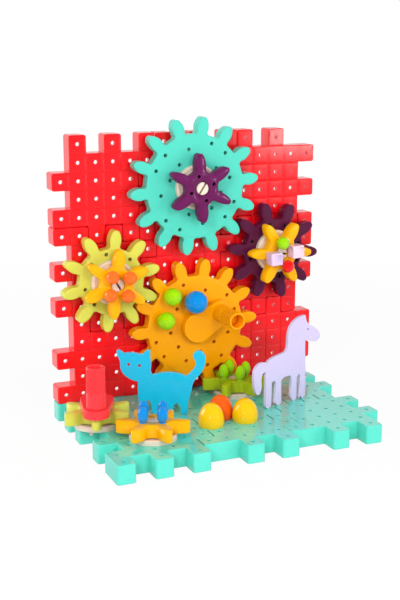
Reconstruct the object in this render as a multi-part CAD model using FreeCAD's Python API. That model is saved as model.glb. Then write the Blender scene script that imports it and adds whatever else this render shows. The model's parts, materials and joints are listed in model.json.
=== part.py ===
"""Hand cranked gear building toy: a peg wall on a peg floor, with gears, cranks, beads and figures.

Units are millimetres and +Z is up.  Everything sits on one square grid of cells.  Wall places are
given as (column, height) and floor places as (column, -depth), both counted in cells from the
back-left floor cell.  The finished toy is moved so that its origin is the middle of its underside.
"""
import FreeCAD, Part
import collections
import math
import os

os.makedirs("parts", exist_ok=True)
Vector = FreeCAD.Vector

# ---------------------------------------------------------------- the grid and the panels
PITCH = 18.0              # side of one cell, and distance between peg holes
PANEL_CORE = 4            # cells along one side of a panel's middle
PANEL_THICKNESS = 18.0    # a tooth is a cube, so that panels also join at a right angle
PANEL_SKIN = 2.4          # face of the hollow moulding
PANEL_WALL = 2.2          # side walls of the hollow moulding
PANEL_RIB = 1.4           # stiffening ribs behind the face
JOINT_GAP = 0.15          # play on each side of a finger joint
TOOTH_CORNER = 2.4        # rounded outer corners of the teeth
NOTCH_CORNER = 0.7        # rounded inner corners between teeth
WALL_FACE_ROUND = 0.9     # rounding where a panel's face meets its sides
FLOOR_FACE_ROUND = 0.8
GROOVE_DEPTH = 0.5        # lines that mark the cells on a wall panel
GROOVE_WIDTH = 1.6
WALL_PANELS = 3           # panels along the width, and up the wall
FLOOR_PANELS = 2          # panels from the wall to the front

# ---------------------------------------------------------------- pegs, holes and axles
HOLE_RADIUS = 1.95
PEG_GAP = 0.10
PEG_LENGTH = 6.0
AXLE_RADIUS = 6.0
RUNNING_GAP = 0.08        # radial play of a gear or grip on its axle
END_PLAY = 0.3            # play along an axle
LIP_RADIUS = 6.6          # snap rim at the end of an axle
LIP_THICKNESS = 1.0
LIP_RECESS_RADIUS = 7.3
SLOT_WIDTH = 2.2          # the slot that lets the axle's end spring
SLOT_DEPTH = 10.0
BASE_RADIUS = 22.5
BASE_THICKNESS = 5.0
BASE_ROUND = 1.6
BASE_RECESS_DEPTH = 0.6
BASE_RIM = 3.0
BASE_BOSS_RADIUS = 8.8

# ---------------------------------------------------------------- gears
GEAR_THICKNESS = 12.4
GEAR_SKIN = 2.4
GEAR_WALL = 2.2
GEAR_ROUND = 0.9          # rounding of the back edge
GEAR_BEVEL_WIDTH = 1.5    # bevel round the front face
GEAR_BEVEL_DEPTH = 0.6
GEAR_BOSS_WALL = 2.6
HOLE_SLEEVE = 1.3          # wall of the sleeve round each peg hole of a gear
HOLE_RIM = 1.4            # least width between a peg hole and the root circle
GearForm = collections.namedtuple(
    "GearForm", "teeth tip_radius root_radius half_width widest tip_round root_round")
LARGE = GearForm(14, 69.8, 52.5, 6.0, 7.0, 4.0, 3.0)
MEDIUM = GearForm(10, 51.4, 33.3, 5.7, 7.5, 4.0, 3.0)
SMALL = GearForm(6, 34.6, 19.2, 5.7, 8.5, 3.9, 3.4)
SLENDER = GearForm(6, 33.8, 16.8, 4.3, 7.5, 3.4, 4.5)   # meshes with a wall gear at a right angle

# ---------------------------------------------------------------- cranks
CRANK_HUB_RADIUS = 16.2
CRANK_LOBE_RADIUS = 12.6
CRANK_THROW = 28.0
CRANK_ARM_THICKNESS = 8.2
CRANK_PAD_THICKNESS = 0.8
CRANK_PAD_WIDTH = 5.5     # the ring under the hub that stands on the gear
CRANK_ROUND = 1.0
POST_RADIUS = 4.6
POST_LENGTH = 24.0
HANDLE_LENGTH = 39.5
HANDLE_BASE_RADIUS = 9.9
HANDLE_END_RADIUS = 9.4
HANDLE_WALL = 2.7
HANDLE_LIP_ROUND = 0.9
HANDLE_PLAIN_LENGTH = 14.5
HANDLE_FLUTES = 26
FLUTE_RADIUS = 0.9
FLUTE_DEPTH = 0.45
CAP_THICKNESS = 2.0
CAP_PIN_RADIUS = 2.0
CAP_GAP = 0.5             # between the cap and the grip round it
CAP_PIN_LENGTH = 12.0

# ---------------------------------------------------------------- beads, domes and figures
BALL_RADIUS = 6.6
MEDIUM_BALL_RADIUS = 9.2
LARGE_BALL_RADIUS = 12.0
CUBE_SIDE = 13.0
CUBE_ROUND = 1.2
EGG_RADIUS = 5.2
EGG_LENGTH = 14.4
EGG_STAND = 1.0           # visible stem below an egg
BEAD_NECK_RADIUS = 2.6
BEAD_NECK_LIFT = 0.4
DOME_RADIUS = 12.6
DOME_FOOT_RADIUS = 11.8
DOME_HEIGHT = 22.5
DOME_BELLY = 5.0          # height of the widest place above the foot
FIGURE_THICKNESS = 3.0
CAT_EYE_RADIUS = 1.6
HORSE_EYE_RADIUS = 1.2

# ---------------------------------------------------------------- derived values
PERIOD = PANEL_CORE + 1
COLUMNS = WALL_PANELS * PERIOD + 1
DEPTH_CELLS = FLOOR_PANELS * PERIOD + 1
HALF_CELL = PITCH / 2
PEG_RADIUS = HOLE_RADIUS - PEG_GAP
BORE_RADIUS = AXLE_RADIUS + RUNNING_GAP
HANDLE_BORE_RADIUS = POST_RADIUS + RUNNING_GAP
HANDLE_MOUTH_RADIUS = HANDLE_END_RADIUS - HANDLE_WALL
GEAR_LEVEL = BASE_THICKNESS + END_PLAY          # back of a gear above what its base stands on
STACK_LEVEL = GEAR_LEVEL + GEAR_THICKNESS       # front of that gear
LIP_RECESS_DEPTH = LIP_THICKNESS + 2 * END_PLAY
HANDLE_BUSH_LENGTH = POST_LENGTH - 2 * END_PLAY
WALL_FACE = HALF_CELL - PANEL_THICKNESS         # wall's front plane, in Y
FLOOR_FACE = PANEL_THICKNESS - HALF_CELL        # floor's top plane, in Z

# ---------------------------------------------------------------- where things stand
# wall axles: (column, height) in cells, and the turn of the gear about its axle in degrees;
# a gear at turn 0 has a tooth and its peg lattice along +X
DRIVE_AT, DRIVE_TURN = (7.5, 4.5), 28.5
LEFT_AT, LEFT_TURN = (2.5, 7.5), 119.8
RIGHT_AT, RIGHT_TURN = (12.5, 8.5), 174.6
TOP_AT, TOP_TURN = (7.5, 12.5), 56.4
LEFT_SMALL_TURN, RIGHT_SMALL_TURN, TOP_SMALL_TURN = 83.4, 59.0, 153.3
# floor axles: (column, -depth) in cells
CRANKED_AT, CRANKED_TURN = (0.5, -4.5), 70.0
FRONT_AT, FRONT_TURN = (2.5, -7.5), 156.6
BACK_AT, BACK_TURN = (9.5, -2.5), 45.6
# a crank's pegs fit its gear at each quarter turn from the gear's own turn
DRIVE_CRANK_TURN = DRIVE_TURN
FLOOR_CRANK_TURN = CRANKED_TURN - 180
# domes and figures: the hole that their peg stands in, and the figure's turn about Z
DOMES = {"dome_yellow_left": (6, -7), "dome_yellow_right": (8, -7), "dome_orange": (7, -6)}
CAT_AT, CAT_TURN = (4, -4), -30.0
HORSE_AT, HORSE_TURN = (12, -5), 18.4

# outlines of the flat figures: strokes that follow on from each other, from the pegged foot's middle
CAT_START = (-16.5, 3.8)
CAT_OUTLINE = [
    ("arc", [(-12.6, 0.0), (-8.7, 3.8)]),
    ("line", [(-8.2, 13.4)]),
    ("curve", [(-6.6, 14.2), (-4.4, 11.0), (-3.6, 7.5), (-3.4, 3.6)]),
    ("arc", [(0.0, 0.0), (3.4, 3.6)]),
    ("curve", [(3.8, 9.0), (7.3, 12.6), (10.9, 9.0), (11.2, 3.6)]),
    ("arc", [(14.7, 0.0), (18.2, 3.6)]),
    ("curve", [(18.6, 9.0), (21.4, 11.7), (24.4, 9.0), (25.0, 3.6)]),
    ("arc", [(28.6, 0.0), (32.2, 3.6)]),
    ("curve", [(33.0, 14.0), (35.8, 25.6), (38.6, 35.0), (43.8, 41.4), (48.4, 49.6), (49.6, 57.4)]),
    ("curve", [(47.8, 63.4), (43.0, 66.0), (38.6, 63.8), (37.6, 59.4), (40.2, 54.6), (39.4, 50.0),
               (35.6, 44.6), (30.4, 39.8)]),
    ("curve", [(23.9, 42.2), (15.0, 43.2), (5.9, 42.4), (-3.0, 40.2)]),
    ("curve", [(-4.4, 43.6), (-3.9, 48.4), (-4.4, 56.0), (-4.4, 64.2)]),
    ("curve", [(-6.2, 65.2), (-9.9, 63.2), (-13.6, 60.2)]),
    ("curve", [(-19.1, 61.6), (-25.0, 61.8), (-30.2, 61.2)]),
    ("curve", [(-33.4, 63.0), (-36.4, 64.4), (-38.0, 62.4)]),
    ("curve", [(-36.6, 58.0), (-34.8, 53.0), (-34.2, 45.4), (-30.2, 38.6), (-24.0, 34.6),
               (-17.0, 32.4)]),
    ("curve", [(-17.3, 26.0), (-16.8, 14.0), (-16.5, 3.8)]),
]
CAT_EYES = [(-26.1, 49.7), (-15.3, 48.8)]
HORSE_START = (-41.2, 4.0)
HORSE_OUTLINE = [
    ("arc", [(-37.1, 0.0), (-33.0, 4.0)]),
    ("line", [(-33.0, 23.6)]),
    ("curve", [(-31.6, 26.6), (-29.0, 26.8), (-27.0, 22.0), (-26.6, 4.0)]),
    ("arc", [(-22.6, 0.0), (-18.6, 4.0)]),
    ("line", [(-19.2, 23.6)]),
    ("curve", [(-17.4, 27.0), (-11.5, 28.2), (-6.0, 27.4), (-4.2, 22.0), (-3.8, 3.8)]),
    ("arc", [(0.0, 0.0), (3.8, 3.8)]),
    ("line", [(3.4, 21.4)]),
    ("curve", [(4.7, 25.6), (6.6, 26.6), (8.4, 21.0), (9.6, 3.6)]),
    ("arc", [(13.2, 0.0), (16.8, 3.6)]),
    ("curve", [(16.2, 30.0), (15.4, 48.4), (15.2, 61.0)]),
    ("curve", [(21.8, 59.6), (29.7, 57.4), (34.9, 58.8), (36.9, 62.3), (35.6, 66.4), (27.0, 73.2),
               (16.0, 82.4)]),
    ("line", [(14.6, 87.6)]),
    ("curve", [(7.7, 87.6), (-0.2, 85.0), (-6.8, 79.8), (-9.6, 73.4), (-10.6, 65.5), (-11.0, 58.6),
               (-13.4, 54.6)]),
    ("curve", [(-19.3, 53.4), (-30.4, 52.0), (-36.0, 50.2), (-39.6, 47.4)]),
    ("curve", [(-45.5, 49.4), (-52.0, 48.2), (-56.4, 44.4), (-58.0, 38.6), (-57.6, 29.0),
               (-55.4, 20.4), (-52.0, 16.8)]),
    ("curve", [(-48.6, 19.2), (-47.2, 25.0), (-47.6, 32.4), (-46.0, 37.2), (-43.2, 38.8),
               (-41.4, 36.6)]),
    ("line", [(-41.2, 4.0)]),
]
HORSE_EYES = [(18.9, 72.2)]

made = {}


def keep(node, shape):
    """Keeps one finished sub-part under its node name."""
    made[node] = shape


# ================================================================ placing
def cell(column, other=0.0):
    """Turns a place in cells into millimetres."""
    return column * PITCH, other * PITCH


def on_wall(shape, place, turn, level=0.0):
    """Stands a shape made on the XY plane out from the wall's face, turned about its axle."""
    x, z = cell(*place)
    spun = shape.copy()
    spun.rotate(Vector(0, 0, 0), Vector(0, 0, 1), turn)
    spun.translate(Vector(0, 0, level))
    spun.rotate(Vector(0, 0, 0), Vector(1, 0, 0), 90)
    spun.translate(Vector(x, WALL_FACE, z))
    return spun


def on_floor(shape, place, turn, level=0.0):
    """Stands a shape made on the XY plane on the floor's face, turned about its axle."""
    x, y = cell(*place)
    spun = shape.copy()
    spun.rotate(Vector(0, 0, 0), Vector(0, 0, 1), turn)
    spun.translate(Vector(x, y, FLOOR_FACE + level))
    return spun


def quarter_places(offset=HALF_CELL):
    """The four peg places round an axle."""
    return [(sx * offset, sy * offset) for sx in (-1, 1) for sy in (-1, 1)]


def pegs(places, top=0.0, length=PEG_LENGTH):
    """Round pegs that hang down from a level."""
    return [Part.makeCylinder(PEG_RADIUS, length, Vector(x, y, top - length)) for x, y in places]


# ================================================================ panels
def panel_cells():
    """Cells of one panel as (column, row), rows counted downwards, its middle at 1 to PANEL_CORE."""
    last = PANEL_CORE + 1
    cells = {(c, r) for c in range(1, last) for r in range(1, last)}
    for step in range(1, last, 2):
        cells |= {(step, 0), (last, step), (last - step, last), (0, last - step)}
    cells.add((0, 0))
    return cells


def outline_corners(cells):
    """Corners of the outline round a set of cells, anticlockwise, in cells with rows as -Y."""
    edges = {}
    for c, r in cells:
        left, right, top, bottom = c - 0.5, c + 0.5, 0.5 - r, -0.5 - r
        for start, end, neighbour in (((left, bottom), (right, bottom), (c, r + 1)),
                                      ((right, bottom), (right, top), (c + 1, r)),
                                      ((right, top), (left, top), (c, r - 1)),
                                      ((left, top), (left, bottom), (c - 1, r))):
            if neighbour not in cells:
                edges[start] = end
    point = min(edges)
    loop = [point]
    while edges[loop[-1]] != point:
        loop.append(edges[loop[-1]])
    corners = []
    for before, here, after in zip(loop[-1:] + loop[:-1], loop, loop[1:] + loop[:1]):
        turn = (here[0] - before[0]) * (after[1] - here[1]) - (here[1] - before[1]) * (after[0] - here[0])
        if turn:
            corners.append((here, before, after, turn > 0))
    return corners


def unit(ax, ay, bx, by):
    """Unit direction from one point to another."""
    length = math.hypot(bx - ax, by - ay)
    return (bx - ax) / length, (by - ay) / length


def panel_wire(cells, inset, outer_round, inner_round):
    """Outline of a panel, drawn inset from the cells' own edges, with rounded corners."""
    pieces = []
    for here, before, after, outward in outline_corners(cells):
        ix, iy = unit(*before, *here)
        ox, oy = unit(*here, *after)
        corner = Vector(here[0] * PITCH + inset * (ox - ix) * (1 if outward else -1),
                        here[1] * PITCH + inset * (oy - iy) * (1 if outward else -1), 0)
        radius = outer_round if outward else inner_round
        start = corner - Vector(ix, iy, 0) * radius
        end = corner + Vector(ox, oy, 0) * radius
        middle = corner + (Vector(ox, oy, 0) - Vector(ix, iy, 0)) * radius * (1 - math.sqrt(0.5))
        pieces.append((start, middle, end))
    edges = []
    for (start, middle, end), (following, _, _) in zip(pieces, pieces[1:] + pieces[:1]):
        edges.append(Part.Arc(start, middle, end).toShape())
        edges.append(Part.LineSegment(end, following).toShape())
    return Part.Wire(edges)


def face_edges(shape, level):
    """Edges that lie in the plane at a level."""
    return [edge for edge in shape.Edges
            if abs(edge.BoundBox.ZMin - level) < 1e-6 and abs(edge.BoundBox.ZMax - level) < 1e-6]


def panel_shell(face_round):
    """One hollow panel with its face up at PANEL_THICKNESS, its back open, ribbed and holed."""
    cells = panel_cells()
    block = Part.Face(panel_wire(cells, JOINT_GAP, TOOTH_CORNER, NOTCH_CORNER)).extrude(
        Vector(0, 0, PANEL_THICKNESS))
    block = block.makeFillet(face_round, face_edges(block, PANEL_THICKNESS))
    inside = JOINT_GAP + PANEL_WALL
    hollow_round = max(TOOTH_CORNER - PANEL_WALL, 0.2)
    hollow = Part.Face(panel_wire(cells, inside, hollow_round, NOTCH_CORNER + PANEL_WALL)).extrude(
        Vector(0, 0, PANEL_THICKNESS - PANEL_SKIN))
    ribs = []
    reach = PANEL_CORE * PITCH - 2 * JOINT_GAP
    for line in range(1, PANEL_CORE):
        middle = (line + 0.5) * PITCH - PANEL_RIB / 2
        start = HALF_CELL + JOINT_GAP
        ribs.append(Part.makeBox(PANEL_RIB, reach, PANEL_THICKNESS, Vector(middle, -start - reach, 0)))
        ribs.append(Part.makeBox(reach, PANEL_RIB, PANEL_THICKNESS,
                                 Vector(start, -middle - PANEL_RIB, 0)))
    hollow = hollow.cut(ribs)
    holes = [Part.makeCylinder(HOLE_RADIUS, PANEL_THICKNESS, Vector(c * PITCH, -r * PITCH, 0))
             for c, r in sorted(cells)]
    return block.cut([hollow] + holes)


def groove_tools():
    """Long triangular bars that cut the cell lines into a wall panel's face."""
    low, high = -PITCH, (PANEL_CORE + 2) * PITCH
    half = GROOVE_WIDTH / 2
    tools = []
    for line in range(PANEL_CORE + 1):
        at = (line + 0.5) * PITCH
        profile = [Vector(at - half, 0, PANEL_THICKNESS), Vector(at + half, 0, PANEL_THICKNESS),
                   Vector(at, 0, PANEL_THICKNESS - GROOVE_DEPTH)]
        bar = Part.Face(Part.makePolygon(profile + profile[:1])).extrude(Vector(0, high - low, 0))
        bar.translate(Vector(0, -high, 0))
        across = bar.copy()
        across.rotate(Vector(0, 0, 0), Vector(0, 0, 1), -90)
        tools += [bar, across]
    return tools


def turned_panel(panel, quarter_turns):
    """A panel turned clockwise about its own middle, which keeps its teeth in their places."""
    middle = (PANEL_CORE + 1) / 2 * PITCH
    turned = panel.copy()
    turned.rotate(Vector(middle, -middle, 0), Vector(0, 0, 1), -90 * quarter_turns)
    return turned


# the corner tooth of each panel: 0 top left, 1 top right, 2 bottom right, 3 bottom left
WALL_CORNERS = {("top", "left"): 1, ("top", "middle"): 1, ("top", "right"): 3,
                ("centre", "left"): 0, ("centre", "middle"): 0, ("centre", "right"): 1,
                ("bottom", "left"): 1, ("bottom", "middle"): 1, ("bottom", "right"): 2}
FLOOR_CORNERS = {("back", "left"): 0, ("back", "middle"): 0, ("back", "right"): 0,
                 ("front", "left"): 3, ("front", "middle"): 0, ("front", "right"): 0}


def make_panels():
    """The wall's and the floor's panels."""
    plain = panel_shell(FLOOR_FACE_ROUND)
    grooved = panel_shell(WALL_FACE_ROUND).cut(groove_tools())
    wall_height = WALL_PANELS * PERIOD * PITCH
    for row, level in enumerate(("top", "centre", "bottom")):
        for column, side in enumerate(("left", "middle", "right")):
            panel = turned_panel(grooved, WALL_CORNERS[(level, side)])
            panel.translate(Vector(column * PERIOD * PITCH, wall_height - row * PERIOD * PITCH, 0))
            panel.rotate(Vector(0, 0, 0), Vector(1, 0, 0), 90)
            panel.translate(Vector(0, HALF_CELL, 0))
            keep("wall_panel_%s_%s" % (level, side), panel)
    for row, level in enumerate(("back", "front")):
        for column, side in enumerate(("left", "middle", "right")):
            panel = turned_panel(plain, FLOOR_CORNERS[(level, side)])
            panel.translate(Vector(column * PERIOD * PITCH, -row * PERIOD * PITCH, -HALF_CELL))
            keep("floor_panel_%s_%s" % (level, side), panel)


# ================================================================ axle bases
def axle_base():
    """A round foot with four pegs below and a slotted snap axle above."""
    disc = Part.makeCylinder(BASE_RADIUS, BASE_THICKNESS)
    disc = disc.makeFillet(BASE_ROUND, face_edges(disc, BASE_THICKNESS))
    recess = Part.makeCylinder(BASE_RADIUS - BASE_RIM, BASE_RECESS_DEPTH,
                               Vector(0, 0, BASE_THICKNESS - BASE_RECESS_DEPTH))
    recess = recess.cut(Part.makeCylinder(BASE_BOSS_RADIUS, BASE_THICKNESS))
    top = STACK_LEVEL - END_PLAY
    lip_bottom = top - LIP_THICKNESS
    axle = Part.makeCylinder(AXLE_RADIUS, lip_bottom)
    lip = Part.makeCone(LIP_RADIUS, AXLE_RADIUS - 0.4, LIP_THICKNESS, Vector(0, 0, lip_bottom))
    slot = Part.makeBox(2 * LIP_RADIUS + 2, SLOT_WIDTH, SLOT_DEPTH + 1,
                        Vector(-LIP_RADIUS - 1, -SLOT_WIDTH / 2, top - SLOT_DEPTH))
    base = disc.cut(recess).fuse([axle, lip] + pegs(quarter_places()))
    return base.removeSplitter().cut(slot)


# ================================================================ gears
def gear_wire(form, inset=0.0):
    """Petal gear outline of tangent arcs, drawn inset from the true edge."""
    tip_x = form.tip_radius - form.tip_round
    widest_x = form.root_radius + form.widest
    flank = ((tip_x - widest_x) ** 2 + form.half_width ** 2 - form.tip_round ** 2) / (
        2 * (form.half_width - form.tip_round))
    flank_x, flank_y = widest_x, form.half_width - flank
    # the root fillet touches the flank's circle and the root circle from outside both
    far, near = flank + form.root_round, form.root_radius + form.root_round
    apart = math.hypot(flank_x, flank_y)
    along = (near ** 2 - far ** 2 + apart ** 2) / (2 * apart)
    aside = math.sqrt(near ** 2 - along ** 2)
    ux, uy = flank_x / apart, flank_y / apart
    root_x, root_y = along * ux - aside * uy, along * uy + aside * ux

    def polar(centre, towards, radius):
        dx, dy = unit(*centre, *towards)
        return centre[0] + dx * radius, centre[1] + dy * radius

    flank_radius, fillet_radius = flank - inset, form.root_round + inset
    tip_point = polar((flank_x, flank_y), (tip_x, 0.0), flank_radius)
    fillet_point = polar((flank_x, flank_y), (root_x, root_y), flank_radius)
    root_point = polar((0.0, 0.0), (root_x, root_y), form.root_radius - inset)
    flank_middle = polar((flank_x, flank_y), ((tip_point[0] + fillet_point[0]) / 2,
                                              (tip_point[1] + fillet_point[1]) / 2), flank_radius)
    fillet_middle = polar((root_x, root_y), ((fillet_point[0] + root_point[0]) / 2,
                                             (fillet_point[1] + root_point[1]) / 2), fillet_radius)
    tip = (form.tip_radius - inset, 0.0)
    step = 2 * math.pi / form.teeth
    edges = []
    for tooth in range(form.teeth):
        cos, sin = math.cos(tooth * step), math.sin(tooth * step)

        def turned(point, side=1):
            x, y = point[0], point[1] * side
            return Vector(x * cos - y * sin, x * sin + y * cos, 0)

        edges.append(Part.Arc(turned(root_point, -1), turned(fillet_middle, -1), turned(fillet_point, -1)))
        edges.append(Part.Arc(turned(fillet_point, -1), turned(flank_middle, -1), turned(tip_point, -1)))
        edges.append(Part.Arc(turned(tip_point, -1), turned(tip), turned(tip_point)))
        edges.append(Part.Arc(turned(tip_point), turned(flank_middle), turned(fillet_point)))
        edges.append(Part.Arc(turned(fillet_point), turned(fillet_middle), turned(root_point)))
        root_angle = math.atan2(root_point[1], root_point[0])
        gap_middle = (tooth + 0.5) * step
        gap_end = (tooth + 1) * step - root_angle
        radius = form.root_radius - inset
        edges.append(Part.Arc(turned(root_point),
                              Vector(radius * math.cos(gap_middle), radius * math.sin(gap_middle), 0),
                              Vector(radius * math.cos(gap_end), radius * math.sin(gap_end), 0)))
    return Part.Wire([edge.toShape() for edge in edges])


def gear_hole_places(form):
    """Peg holes on the half-cell lattice, as far out as the root circle has room for them."""
    room = form.root_radius - HOLE_RIM - HOLE_RADIUS
    count = int(form.root_radius // PITCH) + 1
    offsets = [(n + 0.5) * PITCH for n in range(-count, count)]
    return [(x, y) for x in offsets for y in offsets if math.hypot(x, y) < room]


def gear(form):
    """A hollow petal gear with its face up, bored for an axle and holed for pegs."""
    body = Part.Face(gear_wire(form)).extrude(Vector(0, 0, GEAR_THICKNESS))
    body = body.makeFillet(GEAR_ROUND, face_edges(body, 0))
    body = body.makeChamfer(GEAR_BEVEL_DEPTH, GEAR_BEVEL_WIDTH, face_edges(body, GEAR_THICKNESS))
    hollow = Part.Face(gear_wire(form, GEAR_WALL)).extrude(Vector(0, 0, GEAR_THICKNESS - GEAR_SKIN))
    kept = [Part.makeCylinder(BORE_RADIUS + GEAR_BOSS_WALL, GEAR_THICKNESS)]
    kept += [Part.makeCylinder(HOLE_RADIUS + HOLE_SLEEVE, GEAR_THICKNESS, Vector(x, y, 0))
             for x, y in gear_hole_places(form)]
    cuts = [hollow.cut(kept), Part.makeCylinder(BORE_RADIUS, GEAR_THICKNESS),
            Part.makeCylinder(LIP_RECESS_RADIUS, LIP_RECESS_DEPTH,
                              Vector(0, 0, GEAR_THICKNESS - LIP_RECESS_DEPTH))]
    cuts += [Part.makeCylinder(HOLE_RADIUS, GEAR_THICKNESS, Vector(x, y, 0))
             for x, y in gear_hole_places(form)]
    return body.cut(cuts)


# ================================================================ cranks
def crank_arm():
    """Crank arm: pegged hub on the axle's line, lobe at the throw, and the post for the grip."""
    spread = math.acos((CRANK_HUB_RADIUS - CRANK_LOBE_RADIUS) / CRANK_THROW)
    cos, sin = math.cos(spread), math.sin(spread)
    hub_touch = [Vector(CRANK_HUB_RADIUS * cos, side * CRANK_HUB_RADIUS * sin, 0) for side in (1, -1)]
    lobe_touch = [Vector(CRANK_THROW + CRANK_LOBE_RADIUS * cos, side * CRANK_LOBE_RADIUS * sin, 0)
                  for side in (1, -1)]
    outline = Part.Wire([
        Part.Arc(hub_touch[0], Vector(-CRANK_HUB_RADIUS, 0, 0), hub_touch[1]).toShape(),
        Part.LineSegment(hub_touch[1], lobe_touch[1]).toShape(),
        Part.Arc(lobe_touch[1], Vector(CRANK_THROW + CRANK_LOBE_RADIUS, 0, 0), lobe_touch[0]).toShape(),
        Part.LineSegment(lobe_touch[0], hub_touch[0]).toShape()])
    arm = Part.Face(outline).extrude(Vector(0, 0, CRANK_ARM_THICKNESS))
    arm = arm.makeFillet(CRANK_ROUND, face_edges(arm, CRANK_ARM_THICKNESS))
    arm.translate(Vector(0, 0, CRANK_PAD_THICKNESS))
    pad_radius = math.hypot(HALF_CELL, HALF_CELL) + CRANK_PAD_WIDTH / 2
    pad = Part.makeCylinder(pad_radius, CRANK_PAD_THICKNESS).cut(
        Part.makeCylinder(pad_radius - CRANK_PAD_WIDTH, CRANK_PAD_THICKNESS))
    arm_top = CRANK_PAD_THICKNESS + CRANK_ARM_THICKNESS
    post = Part.makeCylinder(POST_RADIUS, POST_LENGTH, Vector(CRANK_THROW, 0, arm_top))
    cap_hole = Part.makeCylinder(CAP_PIN_RADIUS + PEG_GAP, CAP_PIN_LENGTH + END_PLAY,
                                 Vector(CRANK_THROW, 0, arm_top + POST_LENGTH - CAP_PIN_LENGTH - END_PLAY))
    return arm.fuse([pad, post] + pegs(quarter_places())).removeSplitter().cut(cap_hole)


def crank_handle():
    """Hollow fluted grip that turns on the post; its mouth is open."""
    low = CRANK_PAD_THICKNESS + CRANK_ARM_THICKNESS + END_PLAY
    body = Part.makeCone(HANDLE_BASE_RADIUS, HANDLE_END_RADIUS, HANDLE_LENGTH, Vector(0, 0, low))
    body = body.makeFillet(HANDLE_LIP_ROUND, face_edges(body, low + HANDLE_LENGTH))
    mouth_depth = HANDLE_LENGTH - HANDLE_BUSH_LENGTH
    cuts = [Part.makeCylinder(HANDLE_BORE_RADIUS, HANDLE_LENGTH, Vector(0, 0, low)),
            Part.makeCylinder(HANDLE_MOUTH_RADIUS, mouth_depth,
                              Vector(0, 0, low + HANDLE_BUSH_LENGTH))]
    drop = (HANDLE_BASE_RADIUS - HANDLE_END_RADIUS) / HANDLE_LENGTH
    flute_length = HANDLE_LENGTH - HANDLE_PLAIN_LENGTH - 3 * FLUTE_RADIUS
    flute_from = HANDLE_BASE_RADIUS - drop * HANDLE_PLAIN_LENGTH + FLUTE_RADIUS - FLUTE_DEPTH
    flute = Part.makeCylinder(FLUTE_RADIUS, flute_length,
                              Vector(flute_from, 0, low + HANDLE_PLAIN_LENGTH),
                              Vector(-drop, 0, 1))
    for count in range(HANDLE_FLUTES):
        turned = flute.copy()
        turned.rotate(Vector(0, 0, 0), Vector(0, 0, 1), 360.0 * count / HANDLE_FLUTES)
        cuts.append(turned)
    handle = body.cut(cuts)
    handle.translate(Vector(CRANK_THROW, 0, 0))
    return handle


def handle_cap():
    """Snap cap on the post's end that keeps the grip on."""
    level = CRANK_PAD_THICKNESS + CRANK_ARM_THICKNESS + POST_LENGTH
    radius = HANDLE_MOUTH_RADIUS - CAP_GAP
    head = Part.makeCylinder(radius, CAP_THICKNESS, Vector(CRANK_THROW, 0, level))
    head = head.makeFillet(CAP_THICKNESS / 3, face_edges(head, level + CAP_THICKNESS))
    pin = Part.makeCylinder(CAP_PIN_RADIUS, CAP_PIN_LENGTH, Vector(CRANK_THROW, 0, level - CAP_PIN_LENGTH))
    return head.fuse(pin).removeSplitter()


# ================================================================ beads, domes and figures
def ball_bead(radius):
    """A ball on a short neck with its peg, standing on the XY plane."""
    ball = Part.makeSphere(radius, Vector(0, 0, radius + BEAD_NECK_LIFT))
    neck = Part.makeCylinder(BEAD_NECK_RADIUS, radius / 2)
    return ball.fuse([neck] + pegs([(0, 0)])).removeSplitter()


def cube_bead():
    """A rounded cube with its peg."""
    cube = Part.makeBox(CUBE_SIDE, CUBE_SIDE, CUBE_SIDE, Vector(-CUBE_SIDE / 2, -CUBE_SIDE / 2, 0))
    cube = cube.makeFillet(CUBE_ROUND, cube.Edges)
    return cube.fuse(pegs([(0, 0)], CUBE_ROUND, PEG_LENGTH + CUBE_ROUND)).removeSplitter()


def turned_solid(profile):
    """Solid of revolution about Z from a smooth profile that starts and ends on the axis or foot."""
    curve = Part.BSplineCurve()
    curve.interpolate([Vector(x, 0, z) for x, z in profile])
    low, high = profile[0], profile[-1]
    edges = [curve.toShape()]
    if high[0] > 0:
        edges.append(Part.LineSegment(Vector(high[0], 0, high[1]), Vector(0, 0, high[1])).toShape())
    edges.append(Part.LineSegment(Vector(0, 0, high[1]), Vector(0, 0, low[1])).toShape())
    if low[0] > 0:
        edges.append(Part.LineSegment(Vector(0, 0, low[1]), Vector(low[0], 0, low[1])).toShape())
    return Part.Face(Part.Wire(edges)).revolve(Vector(0, 0, 0), Vector(0, 0, 1), 360)


def egg_profile():
    """Half outline of an egg: fuller below its middle."""
    points = []
    for step in range(9):
        angle = math.pi * step / 8
        fullness = 1.0 - 0.10 * math.cos(math.pi - angle)
        points.append((max(EGG_RADIUS * math.sin(angle) * fullness, 0.0),
                       EGG_LENGTH / 2 * (1 - math.cos(angle))))
    points[0] = (0.0, 0.0)
    points[-1] = (0.0, EGG_LENGTH)
    return points


def egg_bead():
    """An egg on a thin stem with its peg."""
    egg = turned_solid(egg_profile())
    egg.translate(Vector(0, 0, EGG_STAND))
    stem = Part.makeCylinder(BEAD_NECK_RADIUS, EGG_STAND + EGG_LENGTH / 4)
    return egg.fuse([stem] + pegs([(0, 0)])).removeSplitter()


def dome():
    """Half egg with a flat foot and a peg below."""
    rise = DOME_HEIGHT - DOME_BELLY
    profile = [(DOME_FOOT_RADIUS, 0.0), (DOME_RADIUS * 0.985, DOME_BELLY / 2), (DOME_RADIUS, DOME_BELLY)]
    for step in range(1, 6):
        angle = math.pi / 2 * step / 6
        profile.append((DOME_RADIUS * math.cos(angle) ** 0.92, DOME_BELLY + rise * math.sin(angle)))
    profile.append((0.0, DOME_HEIGHT))
    return turned_solid(profile).fuse(pegs([(0, 0)])).removeSplitter()


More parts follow.
